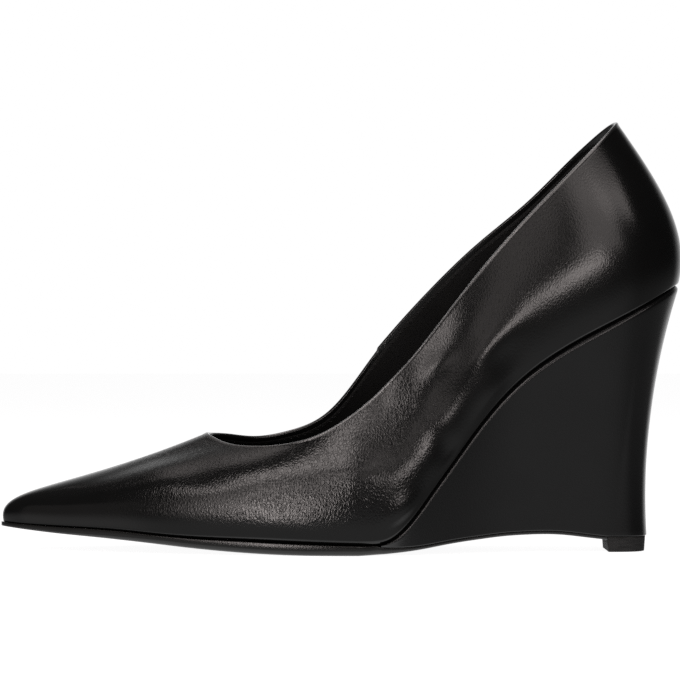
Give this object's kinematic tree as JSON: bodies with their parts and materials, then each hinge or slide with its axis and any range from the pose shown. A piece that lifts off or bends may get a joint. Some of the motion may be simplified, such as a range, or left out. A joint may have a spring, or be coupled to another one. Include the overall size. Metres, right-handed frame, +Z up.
{
  "type": "wedge heel pump",
  "caption": "Pointed women's pump on a tall covered wedge heel: hollow leather upper, insole, thin outsole and rubber heel lift",
  "frame": {"origin": "on the floor, under the middle of the shoe's bounding box", "axes": "+X from toe to heel, +Y from the outer to the inner side of the foot, +Z up"},
  "size_m": [0.2388, 0.0745, 0.1501],
  "materials": {
    "upper_leather": "soft grained black leather, satin",
    "insole_cover": "black lining leather, matt",
    "sole_leather": "black stained sole leather",
    "wedge_cover": "smooth black leather, matt",
    "lift_rubber": "black rubber, matt"
  },
  "bodies": {
    "root": {"upper": "upper_leather", "insole": "insole_cover", "outsole": "sole_leather", "wedge_heel": "wedge_cover", "top_piece": "lift_rubber"}
  },
  "joints": []
}
